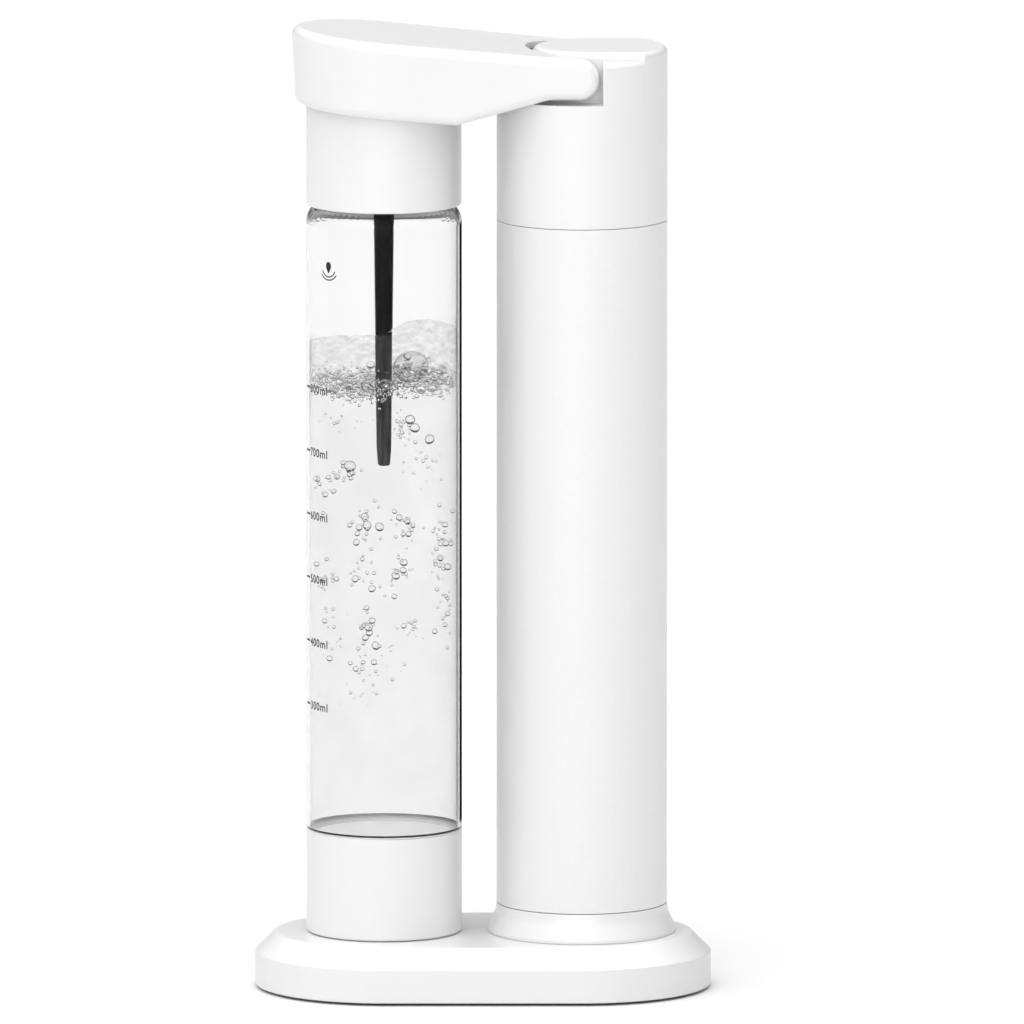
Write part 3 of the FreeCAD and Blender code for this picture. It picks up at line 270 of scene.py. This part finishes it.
STEEL = material(
    "turned_steel",
    (0.62, 0.62, 0.64),
    (0.52, 0.52, 0.54),
    0.30,
    grain=900.0,
    depth=0.01,
    stretch=(1, 1, 6),
    Metallic=1.0,
)
CAST = material(
    "cast_iron",
    (0.20, 0.20, 0.21),
    (0.14, 0.14, 0.15),
    0.62,
    grain=500.0,
    depth=0.12,
    patch=80.0,
    Metallic=1.0,
)
BRASS = material(
    "turned_brass",
    (0.78, 0.58, 0.28),
    (0.70, 0.50, 0.22),
    0.26,
    grain=800.0,
    depth=0.01,
    stretch=(1, 1, 5),
    Metallic=1.0,
)
ALUMINIUM = material(
    "brushed_aluminium",
    (0.80, 0.81, 0.82),
    (0.72, 0.73, 0.75),
    0.32,
    grain=700.0,
    depth=0.015,
    stretch=(1, 1, 8),
    Metallic=1.0,
)
INK = material("printed_ink", (0.004, 0.004, 0.004), (0.01, 0.01, 0.01), 0.6, grain=1500.0, depth=0.004)

# Painted light: the disc in the bottle gives a weak light of its own, though it is no lamp, so that it is as pale as
# the cup round it.
PAINTED_GLOW = material(
    "painted_light_disc",
    (0.80, 0.80, 0.80),
    (0.72, 0.72, 0.72),
    0.5,
    grain=700.0,
    depth=0.03,
    patch=50.0,
    Emission_Color=(1, 1, 1, 1),
    Emission_Strength=0.5,
)

# Rim lists hold edge-on share and grey; the grey is painted shade where a wall is seen edge on. The bottle's are for
# its left and its right side.
BOTTLE_LEFT = [(0.0, 0.945), (0.6, 0.94), (0.85, 0.90), (1.0, 0.82)]
BOTTLE_RIGHT = [(0.0, 0.945), (0.55, 0.93), (0.70, 0.80), (0.80, 0.06), (1.0, 0.02)]
WATER_RIM = [(0.0, 1.0), (0.7, 0.98), (1.0, 0.92)]
BUBBLE_RIM = [(0.0, 0.97), (0.38, 0.84), (0.62, 0.16), (1.0, 0.04)]
FOAM_RIM = [(0.0, 0.99), (0.45, 0.90), (0.7, 0.22), (1.0, 0.06)]
POCKET_RIM = [(0.0, 0.93), (0.45, 0.88), (0.75, 0.80), (1.0, 0.72)]

CLEAR = edge_shaded_clear("clear_bottle", [BOTTLE_LEFT, BOTTLE_RIGHT], 0.02, 1.45, gleam=0.12, across=(-0.030, -0.012))
WATER = edge_shaded_clear("still_water", [WATER_RIM], 0.01, 1.012, grain=120.0, depth=0.05, ruffled=SPLASHED)
BUBBLE = edge_shaded_clear("bubble_wall", [BUBBLE_RIM], 0.02, 1.12)
FOAM = edge_shaded_clear("foam_wall", [FOAM_RIM], 0.03, 1.2)
POCKET = edge_shaded_clear("gas_pocket_wall", [POCKET_RIM], 0.03, 1.03, gleam=0.6, ruffled=POCKET_RUFFLE)

BY_SLOT = {
    "white_plastic": WHITE,
    "grey_plastic": GREY,
    "black_plastic": BLACK,
    "clear_plastic": CLEAR,
    "rubber": RUBBER,
    "steel": STEEL,
    "ballast": CAST,
    "brass": BRASS,
    "aluminium": ALUMINIUM,
}
for node in NODES.values():
    for slot in node.material_slots:
        slot.material = BY_SLOT[slot.material.name]
NODES["column_sleeve"].material_slots[0].material = WHITE_SLEEVE
for name in ("carbonating_head", "neck_ring", "bottle_seal"):
    NODES[name].material_slots[0].material = WHITE


def sheen_painted(low, high):
    """Gloss black that is painted a lighter grey with faint streaks below high, a painted sheen in place of light
    seen through the water.
    """
    made = BLACK.copy()
    made.name = "black_painted_sheen"
    tree = made.node_tree
    shader = tree.nodes["Principled BSDF"]
    streaks = ranged(tree, noise(tree, 420.0, 3.0, (1, 1, 0.12)), 0.0, 1.0)
    # Painted sheen: the lighter grey streaks below the water line.
    painted_sheen = mixed(tree, streaks, (0.035,) * 3, (0.12,) * 3)
    dry = shader.inputs["Base Color"].links[0].from_socket
    tone = blended(tree, ranged(tree, position(tree)["Z"], 1.0, 0.0, low, high), dry, painted_sheen)
    tree.links.new(tone, shader.inputs["Base Color"])
    return made


NODES["nozzle_wand"].material_slots[0].material = sheen_painted(*SHEEN_LINE)


# ---------------------------------------------------------------- bottle contents and print
bottle_low, bottle_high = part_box("bottle_body")
AXIS = (bottle_low.x + bottle_high.x) / 2
OUTER = (bottle_high.x - bottle_low.x) / 2
INNER = OUTER - 1.32 * MM
FOAM_GAP = 0.6 * MM             # from the foam to the wall and to the top of the water
WAND_ROOM = 3.9 * MM            # the wand's radius and a gap
CELL = 0.005                    # the foam's bubbles are sorted into cubes of this size
FINER_ABOVE = 5 * MM           # a bubble of a larger radius gets a finer mesh
INK_HALF = 0.02 * MM            # half the thickness of the print
INK_LIFT = 0.045 * MM           # from the bottle's wall to the middle of the print
GAS_POCKET = ((11.9 * MM, -14 * MM, 0.2805), 7.8 * MM)
rng = random.Random(11)


def piece(name, verts, faces, surface):
    """A new smooth mesh piece, in place."""
    mesh = bpy.data.meshes.new(name)
    mesh.from_pydata(verts, [], faces)
    mesh.update()
    made = bpy.data.objects.new(name, mesh)
    bpy.context.scene.collection.objects.link(made)
    mesh.materials.append(surface)
    mesh.polygons.foreach_set("use_smooth", [True] * len(mesh.polygons))
    return made


def lathe_ring(verts, radius, z, around):
    """Adds one level ring of points round the bottle's axis."""
    for k in range(around):
        turn = 2 * math.pi * k / around
        verts.append((AXIS + radius * math.cos(turn), radius * math.sin(turn), z))


def surface_height(x, y):
    """Height of the disturbed water at a point, both measured from the bottle's axis."""
    across, back = x / MM, y / INNER
    left = 21.4 - 1.6 * ((across + 14) / 18) ** 2
    right = 28.6 - 4.0 * ((across - 17) / 17) ** 2
    rise = 1 / (1 + math.exp(-(across - 1.5) / 3.6))
    swell = 0.5 * math.sin(across * 0.31 + 1.1) * math.cos(y * 170 + 0.4)
    ripple = 0.3 * math.sin(across * 0.8 + y * 300)
    return LEVEL + (left + (right - left) * rise - 5.0 * back + (swell + ripple)) * MM


def water():
    """The water as one closed lathe with a wavy top, a hair inside the bottle."""
    around, rings = 144, 26
    wall = INNER - 0.12 * MM
    floor_z = bottle_low.z + 3.2 * MM
    verts, faces = [], []
    profile = [(0.5, floor_z), (0.84, floor_z), (0.90, floor_z + 0.6 * MM), (0.925, floor_z + 2.6 * MM)]
    profile += [(0.93, 0.044), (0.93, 0.052), (0.93, 0.062), (0.94, 0.0685)]
    profile += [(0.99, 0.0722), (1.0, 0.0765), (1.0, 0.12), (1.0, 0.18), (1.0, 0.24)]
    for share, z in profile:
        lathe_ring(verts, wall * share, z, around)
    for ring in range(rings):
        share = 1 - ring / rings
        for k in range(around):
            turn = 2 * math.pi * k / around
            x, y = wall * share * math.cos(turn), wall * share * math.sin(turn)
            verts.append((AXIS + x, y, surface_height(x, y)))
    count = len(verts) // around
    for row in range(count - 1):
        for k in range(around):
            n = (k + 1) % around
            faces.append((row * around + k, row * around + n, (row + 1) * around + n, (row + 1) * around + k))
    verts.append((AXIS, 0, floor_z))
    verts.append((AXIS, 0, surface_height(0, 0)))
    bottom, top = len(verts) - 2, len(verts) - 1
    for k in range(around):
        n = (k + 1) % around
        faces.append((bottom, n, k))
        faces.append((top, (count - 1) * around + k, (count - 1) * around + n))
    made = piece("bottle_water", verts, faces, WATER)
    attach(made, "bottle")


def bottle_floor():
    """A pale domed disc in the bottle at the top of its cup, which shows through the bottle and gives painted light
    of its own.
    """
    reach = INNER * 0.925
    half = 1.2 * MM
    around = 96
    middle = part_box("bottle_cup")[1].z - 1.6 * MM
    profile = [(0.35, 1.05), (0.7, 0.6), (0.92, 0.1), (0.985, -0.25), (1.0, -0.7), (0.97, -1.1), (0.4, -1.2)]
    verts, faces = [(AXIS, 0.0, middle + half)], []
    for share, rise in profile:
        lathe_ring(verts, reach * share, middle + rise * MM, around)
    verts.append((AXIS, 0.0, middle - half))
    rows, last = len(profile), len(verts) - 1
    for k in range(around):
        n = (k + 1) % around
        faces.append((0, 1 + k, 1 + n))
        faces.append((last, last - around + n, last - around + k))
        for row in range(rows - 1):
            a = 1 + row * around
            faces.append((a + k, a + around + k, a + around + n, a + n))
    made = piece("bottle_floor", verts, faces, PAINTED_GLOW)
    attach(made, "bottle")


def ball(verts, faces, centre, radius, squash=1.0, fine=True):
    """Adds one slightly uneven bubble to the lists."""
    rows, around = (10, 16) if fine else (6, 9)
    if radius > FINER_ABOVE:
        rows, around = 32, 48
    lean = rng.uniform(-0.12, 0.12)
    first = len(verts)
    cx, cy, cz = centre
    verts.append((cx, cy, cz - radius * squash))
    for i in range(1, rows):
        up = math.pi * i / rows - math.pi / 2
        for k in range(around):
            turn = 2 * math.pi * k / around
            flat = radius * math.cos(up)
            z = radius * squash * math.sin(up)
            verts.append((cx + flat * math.cos(turn) + lean * z, cy + flat * math.sin(turn), cz + z))
    verts.append((cx, cy, cz + radius * squash))
    last = len(verts) - 1
    for k in range(around):
        n = (k + 1) % around
        faces.append((first, first + 1 + n, first + 1 + k))
        faces.append((last, last - around + k, last - around + n))
        for i in range(rows - 2):
            a = first + 1 + i * around
            faces.append((a + k, a + n, a + around + n, a + around + k))


def clear_of_all(centre, radius, placed, gap):
    """True if a bubble at centre touches no placed one, the wand or the wall."""
    x, y, z = centre
    away = math.hypot(x, y)
    if away + radius > INNER - 0.5 * MM:
        return False
    if away - radius < WAND_ROOM and z > WAND_TIP:
        return False
    return all((Vector(centre) - Vector(c)).length > (radius + r) * gap for c, r in placed)


# Each cluster: across from the bottle's axis and height in mm, spread across and up, how many, and the least and
# greatest radius.
CLUSTERS = [
    (11.6, 256, 0.1, 0.1, 1, 2.2, 2.3),
    (13.6, 250, 0.1, 0.1, 1, 2.3, 2.4),
    (20.0, 249.4, 0.1, 0.1, 1, 2.1, 2.2),
    (8, 252, 3, 4, 18, 0.4, 1.0),
    (6, 250, 12, 6, 16, 0.3, 0.9),
    (-20, 256, 8, 5, 14, 0.3, 0.8),
    (-15.0, 233, 0.1, 0.1, 1, 2.6, 2.7),
    (-17, 232, 5, 4, 16, 0.4, 1.4),
    (-27, 226, 4, 7, 14, 0.4, 1.6),
    (17, 232, 10, 10, 20, 0.3, 1.3),
    (-8.0, 209, 0.5, 0.5, 2, 1.8, 2.0),
    (-8, 210, 7, 8, 18, 0.6, 1.6),
    (-2.0, 204, 0.1, 0.1, 1, 2.0, 2.1),
    (9, 206, 7, 7, 22, 0.5, 1.8),
    (25, 204, 6, 9, 22, 0.5, 1.9),
    (-10, 187, 8, 7, 18, 0.6, 1.9),
    (6, 187, 7, 6, 18, 0.5, 1.9),
    (-25, 184, 5, 9, 16, 0.4, 1.6),
    (26, 188, 5, 8, 16, 0.4, 1.6),
    (27, 167, 4, 9, 16, 0.4, 1.5),
    (-6, 161, 5, 8, 18, 0.5, 2.0),
    (-22, 158, 6, 11, 16, 0.3, 1.4),
    (12, 163, 6, 8, 14, 0.4, 1.3),
    (-9, 143, 6, 8, 14, 0.4, 1.5),
    (-11, 131, 9, 5, 10, 0.3, 0.8),
    (3, 150, 8, 8, 10, 0.3, 0.9),
]


def bubbles():
    """The rising bubbles, in loose clusters."""
    verts, faces, placed = [], [], []
    for across, height, wide, tall, count, least, most in CLUSTERS:
        for _ in range(count):
            for _ in range(30):
                radius = (least + (most - least) * rng.random() ** 2.2) * MM
                x = rng.gauss(across, wide * 0.55) * MM
                z = rng.gauss(height, tall * 0.55) * MM
                room = math.sqrt(max(0.0, (INNER * 0.93) ** 2 - x * x))
                y = rng.uniform(-room, room * 0.6)
                if clear_of_all((x, y, z), radius, placed, 1.05):
                    placed.append(((x, y, z), radius))
                    ball(verts, faces, (AXIS + x, y, z), radius, rng.uniform(0.88, 1.05))
                    break
    made = piece("rising_bubbles", verts, faces, BUBBLE)
    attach(made, "bottle")


def gas_pocket():
    """One large pocket of gas beside the wand."""
    verts, faces = [], []
    (x, y, z), radius = GAS_POCKET
    ball(verts, faces, (AXIS + x, y, z), radius, 0.9)
    gas = piece("gas_pocket", verts, faces, POCKET)
    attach(gas, "bottle")


def foam():
    """The band of foam at the water line, with larger domes above it."""
    verts, faces = [], []
    cells = {}
    # Radius in mm and vertical spread of each bubble wanted, the largest first.
    wanted = [(rng.uniform(1.4, 2.4), 8.0) for _ in range(14)]
    wanted += [(rng.uniform(0.7, 1.2), 6.0) for _ in range(190)]
    wanted += [(rng.uniform(0.3, 0.75), 5.4) for _ in range(1300)]
    for size, spread in wanted:
        for _ in range(12):
            radius = size * MM
            turn = rng.uniform(0, 2 * math.pi)
            away = (INNER - FOAM_GAP - radius) * math.sqrt(rng.random())
            x, y = away * math.cos(turn), away * math.sin(turn)
            drop = 1.2 * math.sin(x * 150) + 0.04 * x / MM
            z = LEVEL + (0.8 + drop + rng.gauss(0, spread * 0.45)) * MM
            if away - radius < WAND_ROOM or z + radius > surface_height(x, y) - FOAM_GAP:
                continue
            key = (int(x // CELL), int(y // CELL), int(z // CELL))
            near = [
                p
                for i in (-1, 0, 1)
                for j in (-1, 0, 1)
                for k in (-1, 0, 1)
                for p in cells.get((key[0] + i, key[1] + j, key[2] + k), ())
            ]
            near.append(GAS_POCKET)
            if clear_of_all((x, y, z), radius, near, 0.98):
                cells.setdefault(key, []).append(((x, y, z), radius))
                ball(verts, faces, (AXIS + x, y, z), radius, rng.uniform(0.75, 1.0), fine=size > 1)
                break
    made = piece("foam_band", verts, faces, FOAM)
    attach(made, "bottle")


def wrapped(name, body, size, turn, z):
    """Printed characters wrapped on the bottle, starting at turn, which is 0 in front and positive to the right."""
    curve = bpy.data.curves.new(name, "FONT")
    curve.body = body
    curve.size = size
    curve.extrude = INK_HALF
    curve.offset = 0.075 * MM
    curve.space_character = 1.12
    curve.resolution_u = 3
    flat = bpy.data.objects.new(name, curve)
    bpy.context.scene.collection.objects.link(flat)
    mesh = bpy.data.meshes.new_from_object(flat.evaluated_get(bpy.context.evaluated_depsgraph_get()))
    bpy.data.objects.remove(flat)
    printed(name, mesh, turn, z)


def printed(name, mesh, turn, z):
    """Bends a flat mesh onto the bottle and gives it ink."""
    reach = OUTER + INK_LIFT
    for vert in mesh.vertices:
        angle = turn + vert.co.x / OUTER
        out = reach + vert.co.z
        vert.co = (AXIS + out * math.sin(angle), -out * math.cos(angle), z + vert.co.y)
    mesh.materials.clear()
    mesh.materials.append(INK)
    made = bpy.data.objects.new(name, mesh)
    bpy.context.scene.collection.objects.link(made)
    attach(made, "bottle")


def slab(outlines):
    """A flat mesh of filled outlines in the XY plane, as thick as the print."""
    verts, faces = [], []
    for outline in outlines:
        first, n = len(verts), len(outline)
        verts += [(x, y, -INK_HALF) for x, y in outline] + [(x, y, INK_HALF) for x, y in outline]
        faces.append(tuple(first + k for k in reversed(range(n))))
        faces.append(tuple(first + n + k for k in range(n)))
        faces += [(first + k, first + (k + 1) % n, first + n + (k + 1) % n, first + n + k) for k in range(n)]
    mesh = bpy.data.meshes.new("slab")
    mesh.from_pydata(verts, [], faces)
    mesh.update()
    return mesh


def marks():
    """A dash and a volume for each 100 ml from 300 to 800."""
    half = 0.35 * MM
    for hundreds in range(3, 9):
        z = LEVEL - (8 - hundreds) * PER_MARK
        wrapped(f"volume_{hundreds}00", f"{hundreds}00ml", 5.3 * MM, math.radians(-70), z - 1.9 * MM)
        dash = [(k * 0.8 * MM, -half) for k in range(8)]
        dash += [(x, half) for x, _ in reversed(dash)]
        printed(f"volume_dash_{hundreds}00", slab([dash]), math.radians(-81), z)


def arc(start, end, radius, steps=14):
    """Points of an arc in the XY plane, with its angles in degrees."""
    points = []
    for k in range(steps + 1):
        turn = math.radians(start + (end - start) * k / steps)
        points.append((radius * math.cos(turn), radius * math.sin(turn)))
    return points


def drop_sign():
    """A plain drop with two arcs under it, printed near the top of the bottle."""
    drop = []
    for k in range(28):
        turn = 2 * math.pi * k / 28
        drop.append((2.0 * MM * math.sin(turn) * math.sin(turn / 2), -2.6 * MM * math.cos(turn)))
    outlines = [drop]
    for start, end, radius in ((200, 340, 4.4 * MM), (215, 325, 5.8 * MM)):
        inside = arc(start, end, radius - 0.55 * MM)
        outlines.append(inside + arc(start, end, radius)[::-1])
    printed("fill_sign", slab(outlines), math.radians(-45), SIGN_HEIGHT)


water()
bottle_floor()
bubbles()
gas_pocket()
foam()
marks()
drop_sign()


# ---------------------------------------------------------------- stage, light, camera
def floor():
    """A wide pale floor just under the feet."""
    size = 24.0
    surface = material(
        "pale_floor",
        (0.73, 0.73, 0.73),
        (0.72, 0.72, 0.72),
        0.9,
        grain=30.0,
        depth=0.01,
        patch=2.0,
        Specular_IOR_Level=0.0,
    )
    corners = [(-size, -size, 0), (size, -size, 0), (size, size, 0), (-size, size, 0)]
    made = piece("studio_floor", corners, [(0, 1, 2, 3)], surface)


def sky():
    """Soft studio light from all round, brightest above and in front to the left, and dim to the right."""
    world = bpy.data.worlds.new("studio")
    bpy.context.scene.world = world
    world.use_nodes = True
    tree = world.node_tree
    back = tree.nodes["Background"]
    back.inputs["Color"].default_value = (1, 1, 1, 1)
    place = tree.nodes.new("ShaderNodeTexCoord")

    def towards(direction):
        """How far the view goes in a direction, from -1 to 1."""
        dot = tree.nodes.new("ShaderNodeVectorMath")
        dot.operation = "DOT_PRODUCT"
        dot.inputs[1].default_value = Vector(direction).normalized()
        tree.links.new(place.outputs["Generated"], dot.inputs[0])
        return dot.outputs["Value"]

    side = ranged(tree, towards((-1.0, -0.2, 0.1)), 0.02, 0.38, -1.0, 1.0)
    above = tree.nodes.new("ShaderNodeMath")
    above.operation = "POWER"
    above.inputs[1].default_value = 4.0
    tree.links.new(ranged(tree, towards((-0.05, -0.1, 1.0)), 0.0, 1.0, 0.0, 1.0), above.inputs[0])
    total = tree.nodes.new("ShaderNodeMath")
    total.operation = "MULTIPLY_ADD"
    total.inputs[1].default_value = 3.75
    tree.links.new(above.outputs[0], total.inputs[0])
    tree.links.new(side, total.inputs[2])
    tree.links.new(total.outputs[0], back.inputs["Strength"])


def key_light():
    """A wide low softbox just above and left of the camera, which draws the long soft gleam down each round wall."""
    data = bpy.data.lights.new("key", "AREA")
    data.shape = "RECTANGLE"
    data.size, data.size_y = 3.0, 1.2
    data.energy = 29.0
    key = bpy.data.objects.new("key", data)
    bpy.context.scene.collection.objects.link(key)
    turn, up = math.radians(-5.0), math.radians(14.0)
    away = Vector((math.sin(turn) * math.cos(up), -math.cos(turn) * math.cos(up), math.sin(up)))
    distance = 3.2
    key.location = Vector((0, 0, 0.2)) + away * distance
    key.rotation_mode = "QUATERNION"
    key.rotation_quaternion = (-away).to_track_quat("-Z", "Y")


def camera():
    """A long lens a little above the object, with the bottle on the left and the column on the right."""
    data = bpy.data.cameras.new("camera")
    data.sensor_width = 36.0
    data.lens = 1107.0
    data.clip_end = 200.0
    cam = bpy.data.objects.new("camera", data)
    bpy.context.scene.collection.objects.link(cam)
    up = math.radians(8.6)
    aim = Vector((0.0129, 0, 0.2133))
    away = Vector((0, -math.cos(up), math.sin(up)))
    distance = 14.0
    cam.location = aim + away * distance
    cam.rotation_mode = "QUATERNION"
    cam.rotation_quaternion = (-away).to_track_quat("-Z", "Y")
    bpy.context.scene.camera = cam


floor()
sky()
key_light()
camera()
BOUNCES = 32
bpy.context.scene.view_settings.view_transform = "Standard"
bpy.context.scene.cycles.max_bounces = BOUNCES
bpy.context.scene.cycles.transmission_bounces = BOUNCES
